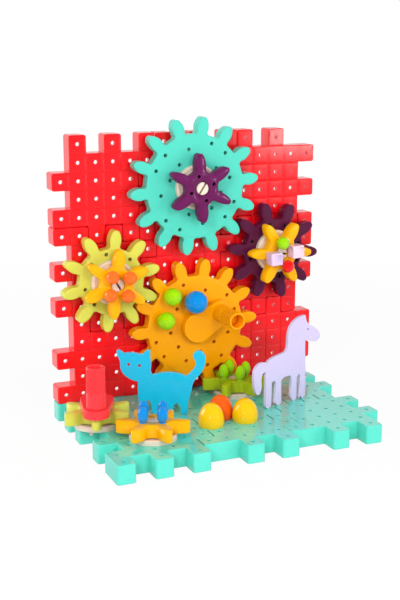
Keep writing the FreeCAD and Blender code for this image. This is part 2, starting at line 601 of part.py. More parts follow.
def figure(start, outline, eyes, eye_radius):
    """Flat figure standing on the XY plane in the XZ plane, with a peg under one foot."""
    here = Vector(start[0], 0, start[1])
    edges = []
    for kind, points in outline:
        through = [here] + [Vector(x, 0, z) for x, z in points]
        if kind == "line":
            edges.append(Part.LineSegment(*through).toShape())
        elif kind == "arc":
            edges.append(Part.Arc(*through).toShape())
        else:
            curve = Part.BSplineCurve()
            curve.interpolate(through)
            edges.append(curve.toShape())
        here = through[-1]
    plate = Part.Face(Part.Wire(edges)).extrude(Vector(0, FIGURE_THICKNESS, 0))
    plate.translate(Vector(0, -FIGURE_THICKNESS / 2, 0))
    bores = [Part.makeCylinder(eye_radius, FIGURE_THICKNESS, Vector(x, -FIGURE_THICKNESS / 2, z),
                               Vector(0, 1, 0)) for x, z in eyes]
    foot_peg = pegs([(0, 0)], FIGURE_THICKNESS / 2, PEG_LENGTH + FIGURE_THICKNESS / 2)
    return plate.cut(bores).fuse(foot_peg).removeSplitter()


# ================================================================ putting it together
def bead_places(centre, turn, place):
    """Place in millimetres, on the plane of a gear, of one of its holes given in cells."""
    angle = math.radians(turn)
    x, y = place[0] * PITCH, place[1] * PITCH
    return (centre[0] + (x * math.cos(angle) - y * math.sin(angle)) / PITCH,
            centre[1] + (x * math.sin(angle) + y * math.cos(angle)) / PITCH)


def make_gears():
    """All gears with the bases that carry them."""
    base = axle_base()
    large, medium, small, slender = gear(LARGE), gear(MEDIUM), gear(SMALL), gear(SLENDER)
    keep("drive_base", on_wall(base, DRIVE_AT, 0))
    keep("drive_gear", on_wall(large, DRIVE_AT, DRIVE_TURN, GEAR_LEVEL))
    for name, place, wheel, turn, small_turn in (
            ("top", TOP_AT, large, TOP_TURN, TOP_SMALL_TURN),
            ("left", LEFT_AT, medium, LEFT_TURN, LEFT_SMALL_TURN),
            ("right", RIGHT_AT, medium, RIGHT_TURN, RIGHT_SMALL_TURN)):
        keep("%s_base" % name, on_wall(base, place, 0))
        keep("%s_gear" % name, on_wall(wheel, place, turn, GEAR_LEVEL))
        keep("%s_stack_base" % name, on_wall(base, place, turn, STACK_LEVEL))
        keep("%s_small_gear" % name, on_wall(small, place, small_turn, STACK_LEVEL + GEAR_LEVEL))
    for name, place, turn in (("floor_crank", CRANKED_AT, CRANKED_TURN),
                              ("floor_front", FRONT_AT, FRONT_TURN),
                              ("floor_back", BACK_AT, BACK_TURN)):
        keep("%s_base" % name, on_floor(base, place, 0))
        wheel = slender if name == "floor_back" else small
        keep("%s_gear" % name, on_floor(wheel, place, turn, GEAR_LEVEL))


def make_cranks():
    """The wall's crank on the drive gear and the floor's crank on the side gear."""
    pieces = {"arm": crank_arm(), "handle": crank_handle(), "cap": handle_cap()}
    for piece, shape in pieces.items():
        keep("drive_crank_%s" % piece, on_wall(shape, DRIVE_AT, DRIVE_CRANK_TURN, STACK_LEVEL))
        keep("floor_crank_%s" % piece, on_floor(shape, CRANKED_AT, FLOOR_CRANK_TURN, STACK_LEVEL))


def make_beads():
    """Beads, each pegged into a hole of the gear that carries it."""
    ball, cube, egg = ball_bead(BALL_RADIUS), cube_bead(), egg_bead()
    small_level = 2 * STACK_LEVEL
    quarters = [(0.5, 0.5), (-0.5, 0.5), (-0.5, -0.5), (0.5, -0.5)]

    def wall_beads(shape, centre, turn, places, level):
        return Part.makeCompound([on_wall(shape, bead_places(centre, turn, place), turn, level)
                                  for place in places])

    def floor_beads(shape, centre, turn, places):
        return Part.makeCompound([on_floor(shape, bead_places(centre, turn, place), turn, STACK_LEVEL)
                                  for place in places])

    keep("left_orange_balls", wall_beads(ball, LEFT_AT, LEFT_SMALL_TURN, quarters, small_level))
    for name, shape, place in (("right_pink_cube", cube, quarters[3]),
                               ("right_green_ball", ball, quarters[0]),
                               ("right_lilac_cube", cube, quarters[1]),
                               ("right_red_ball", ball, quarters[2])):
        keep(name, wall_beads(shape, RIGHT_AT, RIGHT_SMALL_TURN, [place], small_level))
    keep("drive_green_balls", wall_beads(ball_bead(MEDIUM_BALL_RADIUS), DRIVE_AT, DRIVE_TURN,
                                              [(-0.5, 2.5), (-1.5, 1.5)], STACK_LEVEL))
    keep("drive_blue_ball", wall_beads(ball_bead(LARGE_BALL_RADIUS), DRIVE_AT, DRIVE_TURN,
                                            [(0.5, 1.5)], STACK_LEVEL))
    keep("floor_front_eggs", floor_beads(egg, FRONT_AT, FRONT_TURN, quarters))
    keep("floor_back_eggs", floor_beads(egg, BACK_AT, BACK_TURN, quarters))


def make_figures():
    """Domes and flat animals pegged into the floor."""
    half_egg = dome()
    for name, place in DOMES.items():
        keep(name, on_floor(half_egg, place, 0))
    keep("cat", on_floor(figure(CAT_START, CAT_OUTLINE, CAT_EYES, CAT_EYE_RADIUS), CAT_AT, CAT_TURN))
    keep("horse", on_floor(figure(HORSE_START, HORSE_OUTLINE, HORSE_EYES, HORSE_EYE_RADIUS),
                           HORSE_AT, HORSE_TURN))


def main():
    """Builds every sub-part, moves the toy onto its origin and writes one STEP file a node."""
    make_panels()
    make_gears()
    make_cranks()
    make_beads()
    make_figures()
    box = FreeCAD.BoundBox()
    for shape in made.values():
        box.add(shape.optimalBoundingBox(False, False))
    home = Vector(-(box.XMin + box.XMax) / 2, -(box.YMin + box.YMax) / 2, -box.ZMin)
    for node, shape in made.items():
        shape.translate(home)
        if not shape.isValid():
            print("not valid:", node)
        shape.exportStep("parts/%s.step" % node)
    print(len(made), "nodes")


main()
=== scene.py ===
"""Dresses a hand cranked gear building toy with its plastics, its moulded beads, lights and camera.

All sizes are metres in the model's own frame: X to the right, Y away from the player, Z up, with
the origin in the middle of the underside. Grid places are counted in cells from the back left
floor cell, as (column, depth, height).
"""
from __future__ import annotations

import json
import logging
import math
from cmath import phase, rect
from dataclasses import dataclass
from enum import Enum
from typing import Callable, Mapping, Sequence, Union

import bmesh
import bpy
from mathutils import Matrix, Vector

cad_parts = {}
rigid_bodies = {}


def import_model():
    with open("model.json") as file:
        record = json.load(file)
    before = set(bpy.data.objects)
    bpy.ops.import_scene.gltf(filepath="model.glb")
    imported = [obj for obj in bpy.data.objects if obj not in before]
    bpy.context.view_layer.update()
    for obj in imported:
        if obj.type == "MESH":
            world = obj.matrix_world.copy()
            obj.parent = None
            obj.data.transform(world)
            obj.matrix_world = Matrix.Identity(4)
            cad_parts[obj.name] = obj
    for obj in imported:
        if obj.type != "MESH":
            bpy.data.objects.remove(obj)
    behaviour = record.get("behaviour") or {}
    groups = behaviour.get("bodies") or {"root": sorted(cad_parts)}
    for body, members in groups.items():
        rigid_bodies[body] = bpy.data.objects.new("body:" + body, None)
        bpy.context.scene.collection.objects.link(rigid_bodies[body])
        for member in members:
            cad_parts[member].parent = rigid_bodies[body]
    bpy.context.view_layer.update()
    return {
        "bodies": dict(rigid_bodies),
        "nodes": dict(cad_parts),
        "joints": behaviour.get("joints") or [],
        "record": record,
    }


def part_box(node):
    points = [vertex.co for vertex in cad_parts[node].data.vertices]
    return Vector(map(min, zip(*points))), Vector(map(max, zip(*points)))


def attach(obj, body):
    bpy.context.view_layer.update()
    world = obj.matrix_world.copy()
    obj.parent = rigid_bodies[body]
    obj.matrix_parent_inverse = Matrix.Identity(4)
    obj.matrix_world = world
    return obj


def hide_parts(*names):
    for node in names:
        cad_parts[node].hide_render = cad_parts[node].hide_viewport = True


LOG = logging.getLogger("gear_toy")
MILLIMETRE = 0.001
PITCH = 0.018
WELD = 0.000002    # corners nearer than this are one corner
SHARP = math.radians(30)    # least angle of an edge that looks sharp

Colour = tuple[int, int, int]
Triple = tuple[float, float, float]


def linear(colour: Colour) -> tuple[float, float, float, float]:
    """Turns a display colour into the linear colour that a shader takes.

    Args:
        colour: Red, green and blue from 0 to 255.

    Returns:
        Linear red, green and blue, with an alpha of 1.
    """
    shares = [value / 255 for value in colour]
    mixed = [s / 12.92 if s <= 0.04045 else ((s + 0.055) / 1.055) ** 2.4 for s in shares]
    return (mixed[0], mixed[1], mixed[2], 1.0)


# ------------------------------------------------------------------------------ node building


class Signal:
    """A node's output socket, whose maths is written as Python expressions."""

    def __init__(self, graph: "Graph", socket: bpy.types.NodeSocket) -> None:
        """Wraps a socket of one node tree."""
        self.graph = graph
        self.socket = socket

    def maths(self, operation: str, *values: "Value") -> "Signal":
        """Adds a Math node.

        Args:
            operation: The node's operation, such as "ADD".
            *values: The node's inputs, in order.

        Returns:
            The node's result.
        """
        return self.graph.node(
            "ShaderNodeMath", {"operation": operation}, dict(enumerate(values))
        )

    def __add__(self, other: "Value") -> "Signal":
        """Adds a value."""
        return self.maths("ADD", self, other)

    __radd__ = __add__

    def __sub__(self, other: "Value") -> "Signal":
        """Subtracts a value."""
        return self.maths("SUBTRACT", self, other)

    def __rsub__(self, other: "Value") -> "Signal":
        """Subtracts this from a value."""
        return self.maths("SUBTRACT", other, self)

    def __mul__(self, other: "Value") -> "Signal":
        """Multiplies by a value."""
        return self.maths("MULTIPLY", self, other)

    __rmul__ = __mul__

    def __truediv__(self, other: "Value") -> "Signal":
        """Divides by a value."""
        return self.maths("DIVIDE", self, other)

    def __pow__(self, other: "Value") -> "Signal":
        """Raises to a power."""
        return self.maths("POWER", self, other)

    def __abs__(self) -> "Signal":
        """Takes the size without its sign."""
        return self.maths("ABSOLUTE", self)

    def fraction(self) -> "Signal":
        """Keeps what is behind the point."""
        return self.maths("FRACT", self)

    def ramp(self, low: float, high: float, eased: bool = True) -> "Signal":
        """Runs from 0 at low to 1 at high.

        Args:
            low: Where the result is 0.
            high: Where the result is 1; it may be the smaller one.
            eased: Whether the ends are smooth.

        Returns:
            The result, from 0 to 1.
        """
        ends = ((low, high), (0.0, 1.0)) if low < high else ((high, low), (1.0, 0.0))
        (start, stop), (first, last) = ends
        return self.graph.node(
            "ShaderNodeMapRange",
            {"interpolation_type": "SMOOTHSTEP" if eased else "LINEAR"},
            {"Value": self, 1: start, 2: stop, 3: first, 4: last},
            "Result",
        )


Value = Union[Signal, float, int, bool, str, tuple, Vector, bpy.types.ID]


class Graph:
    """A node tree with one way of adding every node."""

    def __init__(self, tree: bpy.types.NodeTree) -> None:
        """Starts on an empty tree."""
        self.tree = tree
        tree.nodes.clear()

    def node(
        self,
        kind: str,
        settings: Mapping[str, object] | None = None,
        inputs: Mapping[int | str, Value] | None = None,
        out: int | str = 0,
    ) -> Signal:
        """Adds a node.

        Args:
            kind: The node's type.
            settings: Its properties, which are set first.
            inputs: Values or links of its sockets, by name or index.
            out: The output that is wanted, by name or index.

        Returns:
            That output.
        """
        made = self.tree.nodes.new(kind)
        for name, value in (settings or {}).items():
            setattr(made, name, value)
        for key, value in (inputs or {}).items():
            if isinstance(value, Signal):
                self.tree.links.new(value.socket, made.inputs[key])
            else:
                made.inputs[key].default_value = value
        return Signal(self, made.outputs[out]) if len(made.outputs) else Signal(self, None)

    def noise(self, where: Signal, size: float, detail: float = 2.0) -> Signal:
        """Adds a noise whose features are about size across."""
        return self.node(
            "ShaderNodeTexNoise", None, {"Vector": where, "Scale": 1 / size, "Detail": detail}
        )

    def blend(self, share: Value, first: Value, second: Value) -> Signal:
        """Mixes two colours.

        Args:
            share: 0 for the first colour, 1 for the second.
            first: A colour or a link.
            second: A colour or a link.

        Returns:
            The mixed colour.
        """
        return self.node(
            "ShaderNodeMix", {"data_type": "RGBA"}, {0: share, 6: first, 7: second}, 2
        )

    def split(self, where: Signal) -> tuple[Signal, Signal, Signal]:
        """Splits a vector into its three numbers."""
        node = self.node("ShaderNodeSeparateXYZ", None, {0: where})
        outputs = node.socket.node.outputs
        return tuple(Signal(self, outputs[axis]) for axis in range(3))

    def vector(self, across: Value, depth: Value, height: Value) -> Signal:
        """Joins three numbers into a vector."""
        return self.node("ShaderNodeCombineXYZ", None, {0: across, 1: depth, 2: height})

    def join(self, *parts: Signal) -> Signal:
        """Joins pieces of geometry."""
        joined = self.node("GeometryNodeJoinGeometry")
        for part in reversed(parts):
            self.tree.links.new(part.socket, joined.socket.node.inputs[0])
        return joined


# ------------------------------------------------------------------------------ rule-made meshes


class Recipe:
    """A geometry tree with named inputs, which turns points into finished copies of one piece."""

    def __init__(self, name: str, inputs: Mapping[str, float]) -> None:
        """Opens the tree.

        Args:
            name: The tree's name.
            inputs: Its sizes and counts, with their usual values.
        """
        self.group = bpy.data.node_groups.new(name, "GeometryNodeTree")
        self.keys: dict[str, str] = {}
        face = self.group.interface
        face.new_socket("Points", in_out="INPUT", socket_type="NodeSocketGeometry")
        for title, value in inputs.items():
            kind = "NodeSocketInt" if isinstance(value, int) else "NodeSocketFloat"
            socket = face.new_socket(title, in_out="INPUT", socket_type=kind)
            socket.default_value = value
            self.keys[title] = socket.identifier
        for title, kind in (("Turn", "NodeSocketVector"), ("Material", "NodeSocketMaterial")):
            socket = face.new_socket(title, in_out="INPUT", socket_type=kind)
            self.keys[title] = socket.identifier
        face.new_socket("Pieces", in_out="OUTPUT", socket_type="NodeSocketGeometry")
        self.graph = Graph(self.group)
        start = self.graph.node("NodeGroupInput").socket.node
        self.given = {s.name: Signal(self.graph, s) for s in start.outputs if s.name}

    def close(self, piece: Signal) -> None:
        """Puts the piece on every point, makes it real and gives it its material.

        Args:
            piece: The piece, standing upright on its point.
        """
        graph, given = self.graph, self.given
        turn = graph.node("FunctionNodeEulerToRotation", None, {0: given["Turn"]})
        placed = graph.node(
            "GeometryNodeInstanceOnPoints",
            None,
            {"Points": given["Points"], "Instance": piece, "Rotation": turn},
        )
        real = graph.node("GeometryNodeRealizeInstances", None, {0: placed})
        smooth = graph.node("GeometryNodeSetShadeSmooth", None, {0: real})
        coloured = graph.node(
            "GeometryNodeSetMaterial", None, {"Geometry": smooth, "Material": given["Material"]}
        )
        graph.node("NodeGroupOutput", None, {0: coloured})

    def make(self, name: str, points: Sequence[Vector], values: Mapping[str, object]) -> bpy.types.Object:
        """Makes the copies.

        Args:
            name: The name of the made object.
            points: Where the copies stand.
            values: Values of the tree's inputs, by their names.

        Returns:
            One object with a plain mesh.
        """
        seeds = bpy.data.meshes.new(name + "_points")
        seeds.from_pydata(points, [], [])
        helper = bpy.data.objects.new(name + "_helper", seeds)
        bpy.context.scene.collection.objects.link(helper)
        modifier = helper.modifiers.new("recipe", "NODES")
        modifier.node_group = self.group
        for title, value in values.items():
            modifier[self.keys[title]] = value
        helper.update_tag()
        ready = helper.evaluated_get(bpy.context.evaluated_depsgraph_get())
        mesh = bpy.data.meshes.new_from_object(ready)
        helper.modifiers.remove(modifier)
        bpy.data.objects.remove(helper)
        piece = bpy.data.objects.new(name, mesh)
        bpy.context.scene.collection.objects.link(piece)
        return piece


def bead_recipe() -> Recipe:
    """Builds the tree of a round bead: body, moulding seam, foot ring, stem and peg.

    Returns:
        The recipe; its sizes are metres and its piece stands on the gear's face.
    """
    recipe = Recipe("bead", {
        "Radius": 0.0066, "Length": 0.0132, "Stand": 0.0004, "Taper": 0.0, "Seam": 0.00011,
        "Stem": 0.0026, "Foot": 0.0033, "Peg": 0.00185, "Peg Length": 0.006,
    })
    graph, given = recipe.graph, recipe.given

    def shaped(geometry: Signal) -> Signal:
        """Turns a ball of radius 1 into the bead's body."""
        across, depth, height = graph.split(graph.node("GeometryNodeInputPosition"))
        width = given["Radius"] * (1 - height * given["Taper"])
        rise = (height + 1) * 0.5 * given["Length"] + given["Stand"]
        place = graph.vector(across * width, depth * width, rise)
        return graph.node("GeometryNodeSetPosition", None, {"Geometry": geometry, "Position": place})

    def rod(radius: Signal, top: Value, bottom: Value, chamfer: float) -> Signal:
        """An upright rod whose top edge is rounded."""
        ring = graph.node("GeometryNodeCurvePrimitiveCircle", None, {"Resolution": 40, "Radius": 1.0})
        line = graph.node("GeometryNodeCurvePrimitiveLine", None,
                          {"Start": (0.0, 0.0, 0.0), "End": (0.0, 0.0, 1.0)})
        line = graph.node("GeometryNodeResampleCurve", None, {"Curve": line, "Count": 9})
        tube = graph.node(
            "GeometryNodeCurveToMesh", None,
            {"Curve": line, "Profile Curve": ring, "Fill Caps": True},
        )
        across, depth, height = graph.split(graph.node("GeometryNodeInputPosition"))
        narrow = 1 - height.ramp(0.7, 1.0) ** 2 * chamfer
        place = graph.vector(
            across * narrow * radius, depth * narrow * radius,
            height * (top - bottom) + bottom,
        )
        return graph.node("GeometryNodeSetPosition", None, {"Geometry": tube, "Position": place})

    ball = graph.node("GeometryNodeMeshUVSphere", None,
                      {"Segments": 56, "Rings": 36, "Radius": 1.0})
    meridian = graph.node("GeometryNodeCurvePrimitiveCircle", None,
                          {"Resolution": 96, "Radius": 1.0})
    meridian = graph.node("GeometryNodeTransform", None,
                          {"Geometry": meridian, "Rotation": (math.pi / 2, 0.0, 0.6)})
    seam = graph.node("GeometryNodeCurvePrimitiveCircle", None,
                      {"Resolution": 8, "Radius": given["Seam"]})
    seam = graph.node("GeometryNodeCurveToMesh", None,
                      {"Curve": shaped(meridian), "Profile Curve": seam})
    nothing = given["Stand"] * 0
    recipe.close(graph.join(
        shaped(ball),
        seam,
        rod(given["Stem"], given["Stand"] + given["Length"] * 0.25, nothing, 0.0),
        rod(given["Foot"], nothing + 0.0003, nothing - 0.0001, 0.12),
        rod(given["Peg"], nothing, nothing - given["Peg Length"], 0.0),
    ))
    return recipe


def grip_recipe() -> Recipe:
    """Builds the tree of a hollow turning grip with ribs round its upper part.

    The skin is a sheet that is rolled up: one side runs round the grip, and the other goes under
    it, up its outside, over its lip and down its bore.

    Returns:
        The recipe; its sizes are metres and its piece stands on its lower rim.
    """
    recipe = Recipe("grip", {
        "Length": 0.0395, "Base Radius": 0.0092, "End Radius": 0.0087, "Wall": 0.0022,
        "Bore": 0.00475, "Bush": 0.0234, "Plain": 0.0145, "Ribs": 26, "Rib Height": 0.0005,
    })
    graph, given = recipe.graph, recipe.given
    sheet = graph.node("GeometryNodeMeshGrid", None,
                       {"Size X": 1.0, "Size Y": 1.0, "Vertices X": 313, "Vertices Y": 121})
    across, along, _ = graph.split(graph.node("GeometryNodeInputPosition"))
    turn, way = (across + 0.5) * (2 * math.pi), along + 0.5

    # the sheet's share that is used up under the grip, up its side, over the lip, down the bore,
    # in to the bush and down the bush
    stops = (0.0, 0.04, 0.60, 0.76, 0.86, 0.90, 1.0)
    under, climb, over, down, inwards, last = (
        way.ramp(low, high, eased=False) for low, high in zip(stops, stops[1:])
    )
    over = over * math.pi

    half = given["Wall"] * 0.5
    height = climb * (given["Length"] - half)
    height = height + over.maths("SINE", over) * half
    height = height - down * (given["Length"] - half - given["Bush"]) - last * given["Bush"]
    outside = given["Base Radius"] + (given["End Radius"] - given["Base Radius"]) * climb
    rib = (turn * given["Ribs"]).maths("COSINE", turn * given["Ribs"])
    rib = 1 - (rib * 0.5 + 0.5) ** 1.6
    upper = (height - given["Plain"]).ramp(0.0, 0.0012)
    upper = upper * (given["Length"] - height).ramp(0.0016, 0.0028)
    outside = outside - (1 - rib) * upper * climb.ramp(0.02, 0.1) * given["Rib Height"] * (
        1 - way.ramp(0.59, 0.62))
    cosine = over.maths("COSINE", over)
    radius = outside - (1 - cosine) * half
    radius = radius - inwards * (given["End Radius"] - given["Wall"] - given["Bore"])
    radius = given["Bore"] + (radius - given["Bore"]) * under
    place = graph.vector(
        turn.maths("COSINE", turn) * radius, turn.maths("SINE", turn) * radius, height
    )
    rolled = graph.node("GeometryNodeSetPosition", None, {"Geometry": sheet, "Position": place})
    welded = graph.node("GeometryNodeMergeByDistance", None, {"Geometry": rolled, "Distance": WELD})
    recipe.close(welded)
    return recipe


def islands(mesh: bpy.types.Mesh) -> list[tuple[Vector, Vector]]:
    """Finds the separate solids of a CAD node.

    Args:
        mesh: The node's mesh, which isn't changed.

    Returns:
        The lowest and highest corner of each solid.
    """
    work = bmesh.new()
    work.from_mesh(mesh)
    bmesh.ops.remove_doubles(work, verts=work.verts, dist=WELD)
    left, found = set(work.verts), []
    while left:
        fresh, group = [left.pop()], []
        while fresh:
            corner = fresh.pop()
            group.append(corner.co.copy())
            for edge in corner.link_edges:
                other = edge.other_vert(corner)
                if other in left:
                    left.remove(other)
                    fresh.append(other)
        found.append(tuple(
            Vector([pick(point[axis] for point in group) for axis in range(3)])
            for pick in (min, max)
        ))
    work.free()
    return sorted(found, key=lambda corners: tuple(corners[0]))


# ------------------------------------------------------------------------------ finishes


class Relief(Enum):
    """The moulded relief of a finish, apart from its slow waves and its grain."""

    PLAIN = "plain"
    WALL_CELLS = "pillows between the grooves of an upright panel"
    FLOOR_CELLS = "faint pillows of a lying panel, with slits where its fingers meet"
    DISC = "a raised disc in the middle of an upright gear"


FLOOR_SLITS = (
    (5.5, 3), (5.5, 6), (5.5, 8), (4.5, 7), (4.5, 9), (10.5, 6), (9.5, 7),
    (11.5, 5), (12.5, 5), (13.5, 5),
)
SLIT_HALF_WIDTH = 0.00045
SLIT_HALF_LENGTH = 0.0078
# colour of the painted shade in the floor slits
SLIT_PAINTED_SHADE = (22, 132, 118)
SLIT_DEPTH = 0.0004
WALL_PILLOW = 0.0004
# share of painted shade that darkens the grooves between wall cells
WALL_GROOVE_PAINTED_SHADE = 0.3
FLOOR_PILLOW = 0.00006
DISC_RISE = 0.00025
DISC_EDGE = 0.0009
CLOUD_SIZE = 0.045
GRAIN_SIZE = 0.0009
GRAIN_HEIGHT = 0.0000012
SCUFF_SIZE = 0.02


@dataclass(frozen=True)
class Moulding:
    """A glossy moulded plastic.

    Attributes:
        name: The material's name.
        colour: Colour of the plastic, from 0 to 255.
        gloss: Roughness of the skin.
        sheen: Strength of the skin's own reflection, where 0.5 is that of plain plastic.
        coat: Weight of the polished top layer.
        coat_blur: Roughness of that layer.
        blush: Share by which the colour deepens in slow clouds.
        edge: Share of the painted highlight that lightens the edges.
        soft_edge: Radius over which edges look rounded.
        wave: Height of the slow waves of the moulding.
        wave_size: Distance between those waves.
        relief: The relief of the face.
        around: CAD node in whose middle a round relief lies.
        disc: Radius of the raised disc.
    """

    name: str
    colour: Colour
    gloss: float = 0.30
    sheen: float = 0.2
    coat: float = 0.28
    coat_blur: float = 0.07
    blush: float = 0.16
    edge: float = 0.30
    soft_edge: float = 0.0006
    wave: float = 0.00003
    wave_size: float = 0.016
    relief: Relief = Relief.PLAIN
    around: str = ""
    disc: float = 0.0505

    def deep(self) -> tuple[float, float, float, float]:
        """The deeper colour of the plastic's slow clouds, also used as painted shade in a wall panel's
        grooves.
        """
        return tuple(c * 0.78 for c in linear(self.colour)[:3]) + (1.0,)

    def light(self) -> tuple[float, float, float, float]:
        """The lighter colour of the painted highlight along edges."""
        return tuple(c + (1 - c) * 0.35 for c in linear(self.colour)[:3]) + (1.0,)

    def cells(self, graph: Graph, where: Signal, grid: "Grid") -> Signal:
        """Gives the height of the pillow in each cell of a panel's face.

        Args:
            graph: The material's graph.
            where: Object coordinates.
            grid: The grid that the cells lie on.

        Returns:
            0 on a cell's edge and 1 in its middle.
        """
        across, depth, height = graph.split(where)
        origin = grid.origin
        if self.relief is Relief.WALL_CELLS:
            second, start = height, origin.z
        else:
            second, start = depth, origin.y
        sides = []
        for along, first in ((across, origin.x), (second, start)):
            share = ((along - (first - PITCH / 2)) / PITCH).fraction()
            sides.append(1 - (abs(share * 2 - 1) ** 5))
        return sides[0] * sides[1]

    def slits(self, graph: Graph, where: Signal, grid: "Grid") -> Signal:
        """Gives the slits between the fingers of lying panels, which are dented and darkened with painted
        shade.

        Args:
            graph: The material's graph.
            where: Object coordinates.
            grid: The grid that the cells lie on.

        Returns:
            1 in a slit and 0 elsewhere.
        """
        across, depth, _ = graph.split(where)
        found = None
        for column, row in FLOOR_SLITS:
            middle = grid.place(column, -row, 0)
            beside = abs(across - middle.x).ramp(SLIT_HALF_WIDTH * 1.5, SLIT_HALF_WIDTH * 0.6)
            along = abs(depth - middle.y).ramp(SLIT_HALF_LENGTH, SLIT_HALF_LENGTH * 0.93)
            slit = beside * along
            found = slit if found is None else found.maths("MAXIMUM", found, slit)
        return found

    def rings(self, graph: Graph, where: Signal) -> Signal:
        """Gives the height of the raised disc round the middle of a node.

        Args:
            graph: The material's graph.
            where: Object coordinates.

        Returns:
            1 on the disc and 0 outside it.
        """
        low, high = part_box(self.around)
        middle = (low + high) / 2
        across, _, height = graph.split(where)
        reach = ((across - middle.x) ** 2 + (height - middle.z) ** 2) ** 0.5
        return reach.ramp(self.disc + DISC_EDGE, self.disc - DISC_EDGE)

    def build(self, grid: "Grid") -> bpy.types.Material:
        """Makes the material.

        Args:
            grid: The grid that a panel's relief lies on.

        Returns:
            The finished material.
        """
        material = bpy.data.materials.new(self.name)
        material.use_nodes = True
        graph = Graph(material.node_tree)
        where = graph.node("ShaderNodeTexCoord", out="Object")
        clouds = graph.noise(where, CLOUD_SIZE, 3.0)
        waves = graph.noise(where, self.wave_size, 1.0)
        grain = graph.noise(where, GRAIN_SIZE, 2.0)
        scuffs = graph.noise(
            graph.node(
                "ShaderNodeMapping", None, {"Vector": where, "Rotation": (0.3, 0.5, 0.7),
                                            "Scale": (1.0, 9.0, 9.0)}
            ),
            SCUFF_SIZE,
            4.0,
        )
        rounded = graph.node(
            "ShaderNodeBevel", {"samples": 4}, {"Radius": self.soft_edge}, "Normal"
        )
        facing = graph.node("ShaderNodeNewGeometry", out="Normal")
        edge_highlight_mask = 1 - graph.node(
            "ShaderNodeVectorMath", {"operation": "DOT_PRODUCT"}, {0: rounded, 1: facing}, "Value"
        )
        colour = graph.blend(clouds.ramp(0.35, 0.7) * self.blush, linear(self.colour), self.deep())
        # painted highlight: edges are lightened where the rounded normal turns away from the face's
        # normal
        colour = graph.blend(edge_highlight_mask.ramp(0.02, 0.25) * self.edge, colour, self.light())
        height = waves * self.wave + grain * GRAIN_HEIGHT
        if self.relief is Relief.WALL_CELLS:
            cells = self.cells(graph, where, grid)
            height = height + cells * WALL_PILLOW
            # painted shade darkens the grooves between the cells
            colour = graph.blend((1 - cells).ramp(0.4, 1.0) * WALL_GROOVE_PAINTED_SHADE, colour, self.deep())
        elif self.relief is Relief.FLOOR_CELLS:
            slits = self.slits(graph, where, grid)
            height = height + self.cells(graph, where, grid) * FLOOR_PILLOW - slits * SLIT_DEPTH
            # painted shade darkens the slits between the floor panels
            colour = graph.blend(slits * 0.85, colour, linear(SLIT_PAINTED_SHADE))
        elif self.relief is Relief.DISC:
            height = height + self.rings(graph, where) * DISC_RISE
        bump = graph.node(
            "ShaderNodeBump", None,
            {"Strength": 1.0, "Distance": 1.0, "Height": height, "Normal": rounded},
        )
        rough = self.gloss + (grain - 0.5) * 0.06 + scuffs.ramp(0.55, 0.75) * 0.08
        shader = graph.node(
            "ShaderNodeBsdfPrincipled",
            None,
            {
                "Base Color": colour,
                "Roughness": rough,
                "IOR": 1.5,
                "Specular IOR Level": self.sheen,
                "Coat Weight": self.coat,
                "Coat Roughness": self.coat_blur,
                "Normal": bump,
            },
            "BSDF",
        )
        graph.node("ShaderNodeOutputMaterial", None, {"Surface": shader})
        return material


# ------------------------------------------------------------------------------ the grid


@dataclass(frozen=True)
class Grid:
    """The square grid that every panel, gear and bead stands on.

    Attributes:
        origin: Middle of the back left floor cell.
    """

    origin: Vector

    @classmethod
    def of_frame(cls) -> "Grid":
        """Finds the grid from the bases of two axles, which stand at known cells."""
        wall_low, wall_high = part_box("drive_base")
        floor_low, floor_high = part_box("floor_front_base")
        wall, floor = (wall_low + wall_high) / 2, (floor_low + floor_high) / 2
        return cls(
            Vector((wall.x - 7.5 * PITCH, floor.y + 7.5 * PITCH, wall.z - 4.5 * PITCH))
        )

    def place(self, column: float, depth: float, height: float) -> Vector:
        """The point at a grid place, with depth counted towards the wall."""
        return self.origin + Vector((column, depth, height)) * PITCH


# ------------------------------------------------------------------------------ sub-assemblies


class Mount(Enum):
    """Which way a piece stands, as the turn of a piece that is made upright."""

    WALL = (math.pi / 2, 0.0, 0.0)
    FLOOR = (0.0, 0.0, 0.0)


@dataclass
class Workshop:
    """What every sub-assembly needs while it is made.

    Attributes:
        grid: The grid of the panels.
        mixed: Materials made so far, by name.
    """

    frame: Mapping[str, object]
    grid: Grid
    mixed: dict[str, bpy.types.Material]

    def finish(self, moulding: Moulding) -> bpy.types.Material:
        """The material of a finish, made once."""
        if moulding.name not in self.mixed:
            self.mixed[moulding.name] = moulding.build(self.grid)
        return self.mixed[moulding.name]

    def body_of(self, node: str) -> str:
        """The body that a CAD node rides on."""
        bodies = self.frame["record"]["behaviour"]["bodies"]
        return next(body for body, members in bodies.items() if node in members)

    def slot_of(self, node: str) -> str:
        """The record's material slot of a CAD node."""
        rows = self.frame["record"]["subparts"]
        return next(row["material_slot"] for row in rows if row["node"] == node)

    def stand_in(self, piece: bpy.types.Object, node: str) -> None:
        """Lets a made piece stand for a CAD node, on that node's body."""
        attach(piece, self.body_of(node))
        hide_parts(node)
        self.slot_of(node)
        LOG.info("%s stands for %s, with %d faces", piece.name, node, len(piece.data.polygons))


@dataclass
class SubAssembly:
    """A sub-assembly whose CAD nodes only need their finishes.

    Attributes:
        title: What it is called in the log.
        finishes: Node names, or the beginnings of node names that end with a star, with finishes.
    """

    title: str
    finishes: Mapping[str, Moulding]

    def dress(self, shop: Workshop) -> None:
        """Gives each CAD node its material."""
        for pattern, finish in self.finishes.items():
            for name, node in shop.frame["nodes"].items():
                if name == pattern or pattern.endswith("*") and name.startswith(pattern[:-1]):
                    node.data.materials.clear()
                    node.data.materials.append(shop.finish(finish))
                    LOG.info("%s: %s in %s", self.title, name, finish.name)

    def build(self, shop: Workshop) -> None:
        """Makes all of the sub-assembly."""
        self.dress(shop)


NEAR_WALL = 1.05    # share of a gear's wall within which a point belongs to its outline
INNER_WALL = 0.8    # share of the wall beyond which a point lies on its inner side
FOOT_WALL = 0.3    # share of the wall that is kept between two petals


